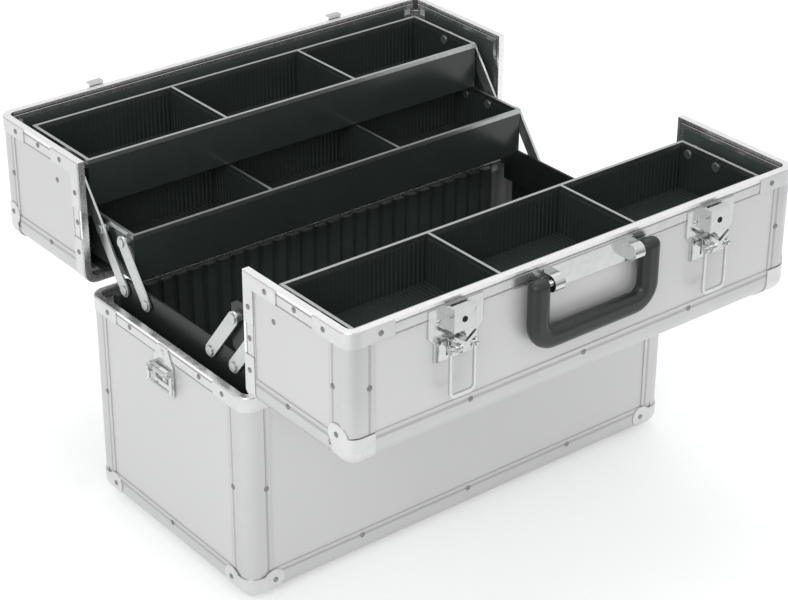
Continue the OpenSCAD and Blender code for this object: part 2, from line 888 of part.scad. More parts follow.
// Base plate with a narrow end, and a slot beside each ear that was folded up from it
module latch_plate() {
    step_u = latch_in + latch_shoulder;
    slot_u = latch_u - pivot_ear_r - 0.4;
    color("gainsboro") {
        face_plate() difference() {
            polygon([[-latch_half, latch_in], [latch_half, latch_in], [latch_half, step_u],
                [latch_neck, step_u + shoulder_drop], [latch_neck, latch_in + latch_len], [-latch_neck, latch_in + latch_len],
                [-latch_neck, step_u + shoulder_drop], [-latch_half, step_u]]);
            for (s = [0, 1]) mirror([s, 0]) translate([pivot_ear_out + 0.4, slot_u])
                square([2, latch_h + pivot_ear_r]);
        }
        difference() {
            translate([-lock_half, latch_in - 0.5, plate_top])
                cube([2 * lock_half, lock_l, lock_h - plate_top]);
            translate([-lock_half + 2, latch_in - 1, 2]) cube([2 * lock_half - 4, 5, 3]);
            translate([0, lock_u, lock_h - 7]) cylinder(h = 8, r = lock_r + run_fit);
        }
        both_ends() across(pivot_ear_in, pivot_ear_t) {
            translate([latch_u - pivot_ear_r, plate_top]) square([2 * pivot_ear_r, latch_h - plate_top]);
            translate([latch_u, latch_h]) circle(pivot_ear_r);
        }
        translate([-loop_out - 0.6, latch_u, latch_h]) rotate([0, 90, 0])
            cylinder(h = 2 * (loop_out + 0.6), r = latch_pin_r);
        for (x = [-1, 1]) translate([x * (lock_half + latch_half) / 2 * 0.93, latch_in + plate_rivet, plate_top]) rivet();
    }
}

module latch_plates() {
    on_face() for (x = [-latch_x, latch_x]) translate([x, 0, 0]) latch_plate();
}

module latch_locks() {
    color([0.12, 0.12, 0.12]) on_face() for (x = [-latch_x, latch_x]) translate([x, lock_u, lock_h - 7]) {
        difference() {
            cylinder(h = 7.4, r = lock_r);
            translate([-0.5, -1.6, 5]) cube([1, 4, 4]);
        }
    }
}

// Thumb lever: a barrel between the ears and a V-shaped wing over the lock's lower edge
module latch_lever(x) {
    half = pivot_ear_in - pivot_gap;
    tip = lock_half - 0.1;
    low = 1.6;
    wing_t = 2.4;
    color("whitesmoke") on_face() translate([x, latch_u, latch_h]) difference() {
        union() {
            translate([-half, 0, 0]) rotate([0, 90, 0]) cylinder(h = 2 * half, r = pivot_ear_r - 0.2);
            translate([0, 0, low]) linear_extrude(wing_t)
                polygon([[0, -1.5], [tip, -wing_high], [tip, -wing_low], [0, -5], [-tip, -wing_low],
                    [-tip, -wing_high]]);
            translate([-3, -4.5, 0]) cube([6, 4.5, low + wing_t]);
        }
        translate([-half - 1, 0, 0]) rotate([0, 90, 0])
            cylinder(h = 2 * half + 2, r = latch_pin_r + run_fit);
    }
}

module left_latch_lever() {
    latch_lever(-latch_x);
}

module right_latch_lever() {
    latch_lever(latch_x);
}

// Draw loop that swings on the ends of the pin, outside the lock housing
module latch_loop(x) {
    corner_r = 6;
    inner_r = 3;
    bar = loop_leg + 1;
    color("gainsboro") on_face() translate([x, latch_u, latch_h]) difference() {
        union() {
            translate([0, 0, -loop_t / 2]) linear_extrude(loop_t) difference() {
                union() {
                    translate([-loop_out, 0]) square([2 * loop_out, loop_l - corner_r]);
                    translate([-loop_out + corner_r, 0]) square([2 * (loop_out - corner_r), loop_l]);
                    for (s = [-1, 1]) translate([s * (loop_out - corner_r), loop_l - corner_r]) circle(corner_r);
                }
                translate([-loop_in, -1]) square([2 * loop_in, loop_l - bar - inner_r + 1]);
                for (s = [-1, 1]) translate([s * (loop_in - inner_r), loop_l - bar - inner_r]) circle(inner_r);
                translate([-loop_in + inner_r, -1]) square([2 * (loop_in - inner_r), loop_l - bar + 1]);
            }
            for (s = [-loop_out, loop_in]) translate([s, 0, 0]) rotate([0, 90, 0])
                cylinder(h = loop_leg, r = pivot_ear_r);
        }
        translate([-loop_out - 1, 0, 0]) rotate([0, 90, 0]) cylinder(h = 2 * loop_out + 2, r = latch_pin_r + run_fit);
    }
}

module left_latch_loop() {
    latch_loop(-latch_x);
}

module right_latch_loop() {
    latch_loop(latch_x);
}

// Hooked catches on the rear lid, reaching a little over the seam
module latch_catches() {
    reach = 3;
    hook_t = 1.5;
    hook_h = 6;
    tongue = catch_half - 2;
    color("gainsboro") rear_open() translate([0, seam_gap, lid_h])
        for (x = [-latch_x, latch_x]) translate([x, 0, 0]) {
            face_plate() translate([-catch_half, latch_in]) square([2 * catch_half, catch_l]);
            translate([-tongue, -reach, plate_top]) cube([2 * tongue, latch_in + catch_l / 2 + reach, hook_t]);
            translate([-tongue, -reach, plate_top]) cube([2 * tongue, hook_t, hook_h]);
            for (s = [-1, 1]) translate([s * tongue / 2, latch_in + catch_l - 4, plate_top]) rivet();
        }
}

// ---- Steel brackets that carry the arms ----

module stud(y, z) {
    translate([0, y, z]) rotate([0, 90, 0]) {
        cylinder(h = arm_x - side_gap, r = shoulder_r);
        cylinder(h = stud_end, r = stud_r);
        translate([0, 0, stud_end]) cylinder(h = stud_head_t, r = stud_head_r);
    }
}

// Studs cut to begin at a given plane across the case
module studs_from(x, points) {
    difference() {
        for (p = points) stud(p[0], p[1]);
        translate([-1, -case_d * 2, 0]) cube([x + 1, case_d * 4, rim_z * 3]);
    }
}

module tray_brackets() {
    half = arm_y + bracket_side;
    corner = 12;
    low = rim_z - bracket_step;
    height = bracket_top + bracket_step;
    pivots = [for (s = [-1, 1], y = [arm_y, arm_y - arm_space]) [s * y, lower_z]];
    color([0.2, 0.2, 0.22]) both_ends() {
        across(bracket_x, bracket_t) translate([0, low]) {
            translate([-half, 0]) square([2 * half, height - corner]);
            translate([-half + corner, 0]) square([2 * (half - corner), height]);
            for (s = [-1, 1]) translate([s * (half - corner), height - corner]) circle(corner);
        }
        translate([bracket_x, -half, low]) cube([half_l - wall_t - bracket_x, 2 * half, bracket_t]);
        translate([half_l - wall_t - bracket_t, -half, low - bracket_leg])
            cube([bracket_t, 2 * half, bracket_leg + bracket_t]);
        studs_from(bracket_x + bracket_t / 2, pivots);
    }
}

// ---- Trays, drawn from their inner top edge: y runs outward, z = 0 at the rim ----

module tray_shell(pivots) {
    bay = (tray_l - 2 * tray_t - (bays - 1) * divider_t) / bays;
    head_t = 1.5;
    color([0.17, 0.18, 0.18]) {
        difference() {
            translate([-tray_x, 0, -tray_h]) cube([tray_l, tray_d, tray_h]);
            translate([-tray_x + tray_t, tray_t, -tray_h + tray_t])
                cube([tray_l - 2 * tray_t, tray_d - 2 * tray_t, tray_h]);
            both_ends() for (y = pivots) translate([tray_x - tray_t - 1, y, -pivot_drop])
                rotate([0, 90, 0]) cylinder(h = tray_t + 2, r = stud_r);
        }
        for (i = [1 : bays - 1]) {
            translate([-tray_x + tray_t + i * bay + (i - 1) * divider_t, tray_t, -tray_h + tray_t])
                cube([divider_t, tray_d - 2 * tray_t, tray_h - tray_t]);
        }
        both_ends() for (y = pivots) translate([0, y, -pivot_drop]) rotate([0, 90, 0]) {
            translate([0, 0, tray_x]) cylinder(h = arm_x - side_gap - tray_x, r = shoulder_r);
            translate([0, 0, tray_x - tray_t]) cylinder(h = stud_end - tray_x + tray_t, r = stud_r);
            translate([0, 0, stud_end]) cylinder(h = stud_head_t, r = stud_head_r);
            translate([0, 0, tray_x - tray_t - head_t]) cylinder(h = head_t, r = shoulder_r);
        }
    }
}

module tray_trim() {
    bay = (tray_l - 2 * tray_t - (bays - 1) * divider_t) / bays;
    inner = tray_t + trim_t;
    color("darkgray") {
        difference() {
            translate([-tray_x - trim_t, -trim_t, -trim_skirt])
                cube([tray_l + 2 * trim_t, tray_d + 2 * trim_t, trim_skirt + trim_top]);
            translate([-tray_x + inner, inner, -trim_skirt - 1])
                cube([tray_l - 2 * inner, tray_d - 2 * inner, trim_skirt + trim_top + 2]);
            difference() {
                translate([-tray_x, 0, -trim_skirt - 1]) cube([tray_l, tray_d, trim_skirt + 1]);
                translate([-tray_x + tray_t, tray_t, -trim_skirt - 1])
                    cube([tray_l - 2 * tray_t, tray_d - 2 * tray_t, trim_skirt + 1]);
            }
            for (i = [1 : bays - 1]) {
                translate([-tray_x + tray_t + i * bay + (i - 1) * divider_t, 0, -trim_skirt - 1])
                    cube([divider_t, tray_d, trim_skirt + 1]);
            }
        }
        for (i = [1 : bays - 1]) {
            mid = -tray_x + tray_t + i * bay + (i - 0.5) * divider_t;
            translate([mid - divider_trim / 2, inner, 0])
                cube([divider_trim, tray_d - 2 * inner, trim_top]);
        }
    }
}

mid_pivots = [pivot_inset, pivot_inset + arm_space, pivot_inset + 2 * arm_space];
end_pivots = [pivot_inset, pivot_inset + arm_space];

module at_tray(p) {
    translate([0, p[0] - pivot_inset, p[1] + pivot_drop]) children();
}

module rear_upper_tray() {
    at_tray(outer_pivot(rear_lean, 2)) tray_shell(end_pivots);
}

module rear_upper_tray_trim() {
    at_tray(outer_pivot(rear_lean, 2)) tray_trim();
}

module rear_mid_tray() {
    at_tray(inner_pivot(rear_lean, 1)) tray_shell(mid_pivots);
}

module rear_mid_tray_trim() {
    at_tray(inner_pivot(rear_lean, 1)) tray_trim();
}

module front_tray() {
    mirror([0, 1, 0]) at_tray(outer_pivot(front_lean, 2)) tray_shell(end_pivots);
}

module front_tray_trim() {
    mirror([0, 1, 0]) at_tray(outer_pivot(front_lean, 2)) tray_trim();
}

// ---- Arms ----

// Flat bar with round ends from one pivot to another, drilled at each stage
module arm(p, lean, stages) {
    both_ends() across(arm_x, arm_t) translate(p) rotate([0, 0, 90 - lean]) difference() {
        union() {
            translate([0, -arm_w / 2]) square([arm_pitch * stages, arm_w]);
            circle(arm_w / 2);
            translate([arm_pitch * stages, 0]) circle(arm_w / 2);
        }
        for (i = [0 : stages]) translate([arm_pitch * i, 0]) circle(stud_r + run_fit);
    }
}

module rear_long_arms() {
    color("silver") arm(outer_pivot(rear_lean, 0), rear_lean, 2);
}

module rear_lower_arms() {
    color("silver") arm(inner_pivot(rear_lean, 0), rear_lean, 1);
}

module rear_upper_arms() {
    color("silver") arm(far_pivot(rear_lean, 1), rear_lean, 1);
}

module front_long_arms() {
    color("silver") mirror([0, 1, 0]) arm(outer_pivot(front_lean, 0), front_lean, 2);
}

module front_lower_arms() {
    color("silver") mirror([0, 1, 0]) arm(inner_pivot(front_lean, 0), front_lean, 1);
}

module front_upper_arms() {
    color("silver") mirror([0, 1, 0]) arm(far_pivot(front_lean, 1), front_lean, 1);
}

// End plates that stand in the place of a middle tray on the front side
module front_coupler_plates() {
    corner = 8;
    fold = 6;
    place = inner_pivot(front_lean, 1);
    pivots = [for (y = mid_pivots) [y, -pivot_drop]];
    color([0.3, 0.3, 0.31]) mirror([0, 1, 0]) at_tray(place) both_ends() {
        across(tray_x - tray_t, tray_t) translate([0, -tray_h]) {
            translate([0, corner]) square([tray_d, tray_h - corner]);
            translate([corner, 0]) square([tray_d - 2 * corner, tray_h]);
            for (y = [corner, tray_d - corner]) translate([y, corner]) circle(corner);
        }
        translate([tray_x - fold, 0, -tray_t]) cube([fold, tray_d, tray_t]);
        for (p = pivots) translate([0, p[0], p[1]]) rotate([0, 90, 0]) {
            translate([0, 0, tray_x - tray_t / 2]) cylinder(h = arm_x - side_gap - tray_x + tray_t / 2, r = shoulder_r);
            translate([0, 0, tray_x - tray_t / 2]) cylinder(h = stud_end - tray_x + tray_t / 2, r = stud_r);
            translate([0, 0, stud_end]) cylinder(h = stud_head_t, r = stud_head_r);
        }
    }
}

body_front_board();
body_rear_board();
body_end_boards();
body_floor_board();
body_corner_posts();
body_bottom_edges();
body_rim_frame();
body_corner_caps();
body_rivets();
body_ribbed_liners();
body_flat_liners();
body_feet();
strap_brackets();
left_strap_ring();
right_strap_ring();
tray_brackets();
hinge_body_leaves();
front_lid_top_board();
front_lid_wall_board();
front_lid_end_boards();
front_lid_edge_bars();
front_lid_rim_frame();
front_lid_corner_caps();
front_lid_rivets();
front_lid_liners();
front_lid_hinge_leaves();
handle_mount();
handle_grip();
latch_plates();
latch_locks();
left_latch_lever();
right_latch_lever();
left_latch_loop();
right_latch_loop();
rear_lid_top_board();
rear_lid_wall_board();
rear_lid_end_boards();
rear_lid_edge_bars();
rear_lid_rim_frame();
rear_lid_corner_caps();
rear_lid_rivets();
rear_lid_liners();
rear_lid_hinge_leaves();
latch_catches();
rear_upper_tray();
rear_upper_tray_trim();
rear_mid_tray();
rear_mid_tray_trim();
front_tray();
front_tray_trim();
rear_long_arms();
rear_lower_arms();
rear_upper_arms();
front_long_arms();
front_lower_arms();
front_upper_arms();
front_coupler_plates();
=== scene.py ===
import math
import bpy
import numpy as np
from mathutils import Matrix, Vector


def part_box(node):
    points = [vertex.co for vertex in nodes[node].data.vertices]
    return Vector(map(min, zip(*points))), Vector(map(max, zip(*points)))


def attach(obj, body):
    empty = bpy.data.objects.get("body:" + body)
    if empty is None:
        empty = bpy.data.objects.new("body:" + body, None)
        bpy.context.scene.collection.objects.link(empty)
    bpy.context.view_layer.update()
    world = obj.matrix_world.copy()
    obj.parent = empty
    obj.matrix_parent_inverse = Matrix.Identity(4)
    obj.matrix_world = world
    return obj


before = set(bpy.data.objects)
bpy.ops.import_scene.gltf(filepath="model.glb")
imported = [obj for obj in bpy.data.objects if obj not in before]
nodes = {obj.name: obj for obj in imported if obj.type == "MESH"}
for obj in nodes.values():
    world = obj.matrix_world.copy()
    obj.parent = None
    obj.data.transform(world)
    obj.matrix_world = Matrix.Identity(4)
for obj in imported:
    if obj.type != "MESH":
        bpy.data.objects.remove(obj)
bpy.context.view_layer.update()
mm = 0.001

# settings that many nodes share; a colour mix takes inputs 6 and 7 and gives output 2. The size of a
# pattern is in mm, and one that reads 1000 / n has n to the metre
absolute = {"operation": "ABSOLUTE"}
add = {"operation": "ADD"}
subtract = {"operation": "SUBTRACT"}
multiply = {"operation": "MULTIPLY"}
minimum = {"operation": "MINIMUM"}
maximum = {"operation": "MAXIMUM"}
colourMix = {"data_type": "RGBA"}
smoothStep = {"interpolation_type": "SMOOTHSTEP"}
bevelRays = {"samples": 4}
noiseLow, noiseHigh = 0.3, 0.7  # most values of a noise texture lie between these


def linearHex(hexCode):
    # sRGB hex to the linear values that the shaders use
    parts = [int(hexCode[i:i + 2], 16) / 255 for i in (1, 3, 5)]
    linear = [c / 12.92 if c <= 0.04045 else ((c + 0.055) / 1.055) ** 2.4 for c in parts]
    return (*linear, 1.0)


def addNode(tree, kind, settings=None, **inputs):
    # one node with its settings, values and links; i0, i1 name inputs by number
    node = tree.nodes.new(kind)
    for name, value in (settings or {}).items():
        setattr(node, name, value)
    for name, value in inputs.items():
        byNumber = name[0] == "i" and name[1:].isdigit()
        socket = node.inputs[int(name[1:]) if byNumber else name.replace("_", " ")]
        if isinstance(value, bpy.types.NodeSocket):
            tree.links.new(value, socket)
        else:
            socket.default_value = value
    return node


def blankMaterial(name):
    # an empty material and the object coordinates that its patterns read, which are the case's own
    material = bpy.data.materials.new(name)
    material.use_nodes = True
    tree = material.node_tree
    tree.nodes.clear()
    return material, tree, addNode(tree, "ShaderNodeTexCoord").outputs["Object"]


def dress(material, *names):
    for name in names:
        mesh = nodes[name].data
        mesh.materials.clear()
        mesh.materials.append(material)


def dressWhere(material, name, picks):
    # a second material on the faces whose centres a test picks, such as the heads of studs
    mesh = nodes[name].data
    mesh.materials.append(material)
    centres = np.empty(len(mesh.polygons) * 3)
    mesh.polygons.foreach_get("center", centres)
    across, depth, height = centres.reshape(-1, 3).T
    picked = picks(np.abs(across), depth, height)
    mesh.polygons.foreach_set("material_index", picked.astype(np.int32))


def makePiece(name, points, faces, material, body):
    # a new piece from rows of points and faces, riding on a body of the case
    mesh = bpy.data.meshes.new(name)
    mesh.from_pydata(points.tolist(), [], faces.tolist())
    mesh.materials.append(material)
    mesh.update()
    piece = bpy.data.objects.new(name, mesh)
    bpy.context.scene.collection.objects.link(piece)
    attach(piece, body)


# melamine laminate with a satin silver print, pressed against a fine grained plate: soft, even and
# pale; its grain is drawn coarser than the real one, so that it shows
laminateLook = {"pale": "#DBDBDB", "dark": "#D4D4D4", "metallic": 0.25, "roughness": (0.36, 0.46),
                "cloudMm": 1000 / 7, "grainMm": 0.7, "grainDepthMm": 0.03}


def satinSilverLaminate():
    look = laminateLook
    material, tree, place = blankMaterial("satinSilverLaminate")
    cloud = addNode(tree, "ShaderNodeTexNoise", Vector=place, Scale=1000 / look["cloudMm"],
                    Detail=3.0, Roughness=0.5).outputs[0]
    grain = addNode(tree, "ShaderNodeTexNoise", Vector=place, Scale=1000 / look["grainMm"],
                    Detail=2.0).outputs[0]
    tone = addNode(tree, "ShaderNodeMix", colourMix, i0=cloud, i6=linearHex(look["dark"]),
                   i7=linearHex(look["pale"])).outputs[2]
    bump = addNode(tree, "ShaderNodeBump", Height=grain, Strength=0.5,
                   Distance=look["grainDepthMm"] * mm).outputs[0]
    rough = addNode(tree, "ShaderNodeMapRange", i0=cloud, i1=noiseLow, i2=noiseHigh,
                    i3=look["roughness"][0], i4=look["roughness"][1]).outputs[0]
    shader = addNode(tree, "ShaderNodeBsdfPrincipled", Base_Color=tone, Metallic=look["metallic"],
                     Roughness=rough, Normal=bump).outputs[0]
    addNode(tree, "ShaderNodeOutputMaterial", Surface=shader)
    return material


# extruded aluminium, dull from its die: a shallow groove runs along each flange, just inside its
# edge, and its darker tone there is painted shade; the die's grain is drawn coarser than the real one,
# so that it shows
extrusionLook = {"metal": "#CCCCCC", "groove": "#8E8E8E", "grooveShadeTint": 0.4, "grooveAtMm": 19.4,
                 "grooveHalfMm": 1.5, "grooveFlat": 0.4, "grooveDepthMm": 0.6, "metallic": 0.8,
                 "roughness": (0.3, 0.41), "handledMm": 1000 / 28, "handledFrom": 0.35,
                 "grainMm": 0.8, "grainDepthMm": 0.03}


def drawnExtrusion(name, shell):
    # the groove follows the distance along the flange from the rounded edge: the two smaller of the
    # three distances to the faces of the shell's box, added
    look = extrusionLook
    material, tree, place = blankMaterial(name)
    low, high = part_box(shell)
    axes = addNode(tree, "ShaderNodeSeparateXYZ", i0=place).outputs
    sides = []
    for axis, half in ((0, high[0]), (1, max(abs(low[1]), abs(high[1])))):
        away = addNode(tree, "ShaderNodeMath", absolute, i0=axes[axis]).outputs[0]
        sides.append(addNode(tree, "ShaderNodeMath", subtract, i0=half, i1=away).outputs[0])
    sides.append(addNode(tree, "ShaderNodeMath", subtract, i0=axes[2], i1=low[2]).outputs[0])
    plan = addNode(tree, "ShaderNodeMath", add, i0=sides[0], i1=sides[1]).outputs[0]
    every = addNode(tree, "ShaderNodeMath", add, i0=plan, i1=sides[2]).outputs[0]
    wide = addNode(tree, "ShaderNodeMath", maximum, i0=sides[0], i1=sides[1]).outputs[0]
    widest = addNode(tree, "ShaderNodeMath", maximum, i0=wide, i1=sides[2]).outputs[0]
    along = addNode(tree, "ShaderNodeMath", subtract, i0=every, i1=widest).outputs[0]
    offset = addNode(tree, "ShaderNodeMath", subtract, i0=along, i1=look["grooveAtMm"] * mm).outputs[0]
    near = addNode(tree, "ShaderNodeMath", absolute, i0=offset).outputs[0]
    groove = addNode(tree, "ShaderNodeMapRange", smoothStep, i0=near,
                     i1=look["grooveHalfMm"] * look["grooveFlat"] * mm,
                     i2=look["grooveHalfMm"] * mm, i3=1.0, i4=0.0).outputs[0]
    handled = addNode(tree, "ShaderNodeTexNoise", Vector=place, Scale=1000 / look["handledMm"],
                      Detail=4.0, Roughness=0.6).outputs[0]
    grain = addNode(tree, "ShaderNodeTexNoise", Vector=place, Scale=1000 / look["grainMm"],
                    Detail=1.0).outputs[0]
    # the groove's darker tone is painted shade, laid over its real relief
    shadeTint = addNode(tree, "ShaderNodeMapRange", i0=groove, i3=0.0, i4=look["grooveShadeTint"]).outputs[0]
    tone = addNode(tree, "ShaderNodeMix", colourMix, i0=shadeTint, i6=linearHex(look["metal"]),
                   i7=linearHex(look["groove"])).outputs[2]
    fall = addNode(tree, "ShaderNodeMath", multiply, i0=groove, i1=-1.0).outputs[0]
    relief = addNode(tree, "ShaderNodeBump", Height=fall, Strength=0.7,
                     Distance=look["grooveDepthMm"] * mm).outputs[0]
    bump = addNode(tree, "ShaderNodeBump", Height=grain, Strength=0.25,
                   Distance=look["grainDepthMm"] * mm, Normal=relief).outputs[0]
    rough = addNode(tree, "ShaderNodeMapRange", i0=handled, i1=look["handledFrom"], i2=noiseHigh,
                    i3=look["roughness"][0], i4=look["roughness"][1]).outputs[0]
    shader = addNode(tree, "ShaderNodeBsdfPrincipled", Base_Color=tone, Metallic=look["metallic"],
                     Roughness=rough, Normal=bump).outputs[0]
    addNode(tree, "ShaderNodeOutputMaterial", Surface=shader)
    return material


# the same alloy, bright dipped: the lip along the top is painted paler, a painted highlight for its
# rounded edge; a step under it and a second step at the skirt's foot are painted darker, painted shade
rimLook = {"lipHighlight": "#F4F4F4", "lipMm": (2.4, 3.2), "band": "#D6D6D6", "stepShade": "#808080",
           "stepShadeTint": 0.7, "stepsAtMm": (3.6, 12.4), "stepHalfMm": 0.9, "stepFlat": 0.3,
           "stepDepthMm": 0.5, "metallic": 0.9, "roughness": (0.21, 0.34),
           "hammerMm": 1000 / 180, "hammerDepthMm": 0.2}


def brightRimChannel(name, rimTop, partingAt=None):
    # steps run at fixed distances below the rim; a lid has its rim on two sides, along the seam and
    # the parting
    look = rimLook
    material, tree, place = blankMaterial(name)
    axes = addNode(tree, "ShaderNodeSeparateXYZ", i0=place).outputs
    depth = addNode(tree, "ShaderNodeMath", subtract, i0=rimTop, i1=axes[2]).outputs[0]
    if partingAt:
        away = addNode(tree, "ShaderNodeMath", absolute, i0=axes[1]).outputs[0]
        side = addNode(tree, "ShaderNodeMath", subtract, i0=away, i1=partingAt).outputs[0]
        depth = addNode(tree, "ShaderNodeMath", minimum, i0=depth, i1=side).outputs[0]
    lines = []
    for at in look["stepsAtMm"]:
        offset = addNode(tree, "ShaderNodeMath", subtract, i0=depth, i1=at * mm).outputs[0]
        near = addNode(tree, "ShaderNodeMath", absolute, i0=offset).outputs[0]
        lines.append(addNode(tree, "ShaderNodeMapRange", smoothStep, i0=near,
                             i1=look["stepHalfMm"] * look["stepFlat"] * mm,
                             i2=look["stepHalfMm"] * mm, i3=1.0, i4=0.0).outputs[0])
    steps = addNode(tree, "ShaderNodeMath", maximum, i0=lines[0], i1=lines[1]).outputs[0]
    # the lip's paler tone is a painted highlight for the rounded top edge
    lipHighlight = addNode(tree, "ShaderNodeMapRange", i0=depth, i1=look["lipMm"][0] * mm,
                  i2=look["lipMm"][1] * mm, i3=1.0, i4=0.0).outputs[0]
    hammer = addNode(tree, "ShaderNodeTexNoise", Vector=place, Scale=1000 / look["hammerMm"],
                     Detail=3.0, Roughness=0.6).outputs[0]
    band = addNode(tree, "ShaderNodeMix", colourMix, i0=lipHighlight, i6=linearHex(look["band"]),
                   i7=linearHex(look["lipHighlight"])).outputs[2]
    # the steps' darker tone is painted shade, laid over their relief
    shadeTint = addNode(tree, "ShaderNodeMapRange", i0=steps, i3=0.0, i4=look["stepShadeTint"]).outputs[0]
    tone = addNode(tree, "ShaderNodeMix", colourMix, i0=shadeTint, i6=band,
                   i7=linearHex(look["stepShade"])).outputs[2]
    fall = addNode(tree, "ShaderNodeMath", multiply, i0=steps, i1=-1.0).outputs[0]
    relief = addNode(tree, "ShaderNodeBump", Height=fall, Strength=0.7,
                     Distance=look["stepDepthMm"] * mm).outputs[0]
    bump = addNode(tree, "ShaderNodeBump", Height=hammer, Strength=0.15,
                   Distance=look["hammerDepthMm"] * mm, Normal=relief).outputs[0]
    rough = addNode(tree, "ShaderNodeMapRange", i0=hammer, i1=noiseLow, i2=noiseHigh,
                    i3=look["roughness"][0], i4=look["roughness"][1]).outputs[0]
    shader = addNode(tree, "ShaderNodeBsdfPrincipled", Base_Color=tone, Metallic=look["metallic"],
                     Roughness=rough, Normal=bump).outputs[0]
    addNode(tree, "ShaderNodeOutputMaterial", Surface=shader)
    return material


# steel, deep drawn, nickel and chrome plated: near mirror, faintly uneven, with softened edges
chromeLook = {"bright": "#D9DADA", "dim": "#CCCDCD", "metallic": 1.0, "roughness": (0.1, 0.18),
              "waveMm": 6.0, "waveDepthMm": 0.25, "edgeMm": 0.5}


def nickelChromePlate():
    look = chromeLook
    material, tree, place = blankMaterial("nickelChromePlate")
    wave = addNode(tree, "ShaderNodeTexNoise", Vector=place, Scale=1000 / look["waveMm"],
                   Detail=2.0).outputs[0]
    tone = addNode(tree, "ShaderNodeMix", colourMix, i0=wave, i6=linearHex(look["bright"]),
                   i7=linearHex(look["dim"])).outputs[2]
    rough = addNode(tree, "ShaderNodeMapRange", i0=wave, i1=noiseLow, i2=noiseHigh,
                    i3=look["roughness"][0], i4=look["roughness"][1]).outputs[0]
    edge = addNode(tree, "ShaderNodeBevel", bevelRays, Radius=look["edgeMm"] * mm).outputs[0]
    bump = addNode(tree, "ShaderNodeBump", Height=wave, Strength=0.4,
                   Distance=look["waveDepthMm"] * mm, Normal=edge).outputs[0]
    shader = addNode(tree, "ShaderNodeBsdfPrincipled", Base_Color=tone, Metallic=look["metallic"],
                     Roughness=rough, Normal=bump).outputs[0]
    addNode(tree, "ShaderNodeOutputMaterial", Surface=shader)
    return material


# steel corner pressings, bright zinc plated: paler and softer than the chrome, with a fine spangle
zincLook = {"bright": "#E2E2E2", "dull": "#CFCFCF", "metallic": 0.9, "roughness": (0.26, 0.35),
            "spangleMm": 2.5, "spangleTo": 0.8, "handledMm": 1000 / 60, "handledDepthMm": 0.2,
            "edgeMm": 0.5}


def brightZincPressing():
    look = zincLook
    material, tree, place = blankMaterial("brightZincPressing")
    spangle = addNode(tree, "ShaderNodeTexVoronoi", Vector=place,
                      Scale=1000 / look["spangleMm"]).outputs[0]
    handled = addNode(tree, "ShaderNodeTexNoise", Vector=place, Scale=1000 / look["handledMm"],
                      Detail=3.0).outputs[0]
    tone = addNode(tree, "ShaderNodeMix", colourMix, i0=handled, i6=linearHex(look["dull"]),
                   i7=linearHex(look["bright"])).outputs[2]
    rough = addNode(tree, "ShaderNodeMapRange", i0=spangle, i1=0.0, i2=look["spangleTo"],
                    i3=look["roughness"][0], i4=look["roughness"][1]).outputs[0]
    edge = addNode(tree, "ShaderNodeBevel", bevelRays, Radius=look["edgeMm"] * mm).outputs[0]
    bump = addNode(tree, "ShaderNodeBump", Height=handled, Strength=0.2,
                   Distance=look["handledDepthMm"] * mm, Normal=edge).outputs[0]
    shader = addNode(tree, "ShaderNodeBsdfPrincipled", Base_Color=tone, Metallic=look["metallic"],
                     Roughness=rough, Normal=bump).outputs[0]
    addNode(tree, "ShaderNodeOutputMaterial", Surface=shader)
    return material


# aluminium rivets, set by a press: grey heads, dulled and a little dirty
rivetLook = {"head": "#A2A2A2", "dirt": "#7C7C7C", "metallic": 0.8, "roughness": 0.4,
             "dirtMm": 1000 / 450, "dirtDepthMm": 0.05}


def pressedRivetHead():
    look = rivetLook
    material, tree, place = blankMaterial("pressedRivetHead")
    dirt = addNode(tree, "ShaderNodeTexNoise", Vector=place, Scale=1000 / look["dirtMm"],
                   Detail=3.0).outputs[0]
    tone = addNode(tree, "ShaderNodeMix", colourMix, i0=dirt, i6=linearHex(look["head"]),
                   i7=linearHex(look["dirt"])).outputs[2]
    bump = addNode(tree, "ShaderNodeBump", Height=dirt, Strength=0.3,
                   Distance=look["dirtDepthMm"] * mm).outputs[0]
    shader = addNode(tree, "ShaderNodeBsdfPrincipled", Base_Color=tone, Metallic=look["metallic"],
                     Roughness=look["roughness"], Normal=bump).outputs[0]
    addNode(tree, "ShaderNodeOutputMaterial", Surface=shader)
    return material


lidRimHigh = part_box("front_lid_rim_frame")[1]
board = satinSilverLaminate()
chrome = nickelChromePlate()
zinc = brightZincPressing()
rivet = pressedRivetHead()
bodyExtrusion = drawnExtrusion("drawnExtrusionBody", "body_bottom_edges")
lidExtrusion = drawnExtrusion("drawnExtrusionLids", "front_lid_edge_bars")
bodyRim = brightRimChannel("brightRimBody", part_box("body_rim_frame")[1][2])
lidRim = brightRimChannel("brightRimLids", lidRimHigh[2], abs(lidRimHigh[1]))

for name in nodes:
    if name.endswith(("_board", "_boards")):
        dress(board, name)
    elif name.endswith("_rim_frame"):
        dress(bodyRim if name.startswith("body") else lidRim, name)
    elif name.endswith(("_posts", "_edges", "_bars")):
        dress(bodyExtrusion if name.startswith("body") else lidExtrusion, name)
    elif name.endswith("_rivets"):
        dress(rivet, name)
    elif name.endswith("_corner_caps"):
        dress(zinc, name)
    else:
        dress(chrome, name)

lugsFromMm = 2.5  # how far off the wall the chromed lugs of the handle's mount begin
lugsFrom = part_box("front_lid_wall_board")[0][1] - lugsFromMm * mm
dress(zinc, "handle_mount")
dressWhere(chrome, "handle_mount", lambda across, depth, height: depth < lugsFrom)


# the rounded foot of each post, which runs on inside the corner cap: its bend, and the distances
# from the end of the shell between which it lies
postFootLook = {"outerMm": 11.9, "wallMm": 0.8, "cornerMm": 12.0, "fromMm": 10.0, "toMm": 25.5,
                "steps": 12}


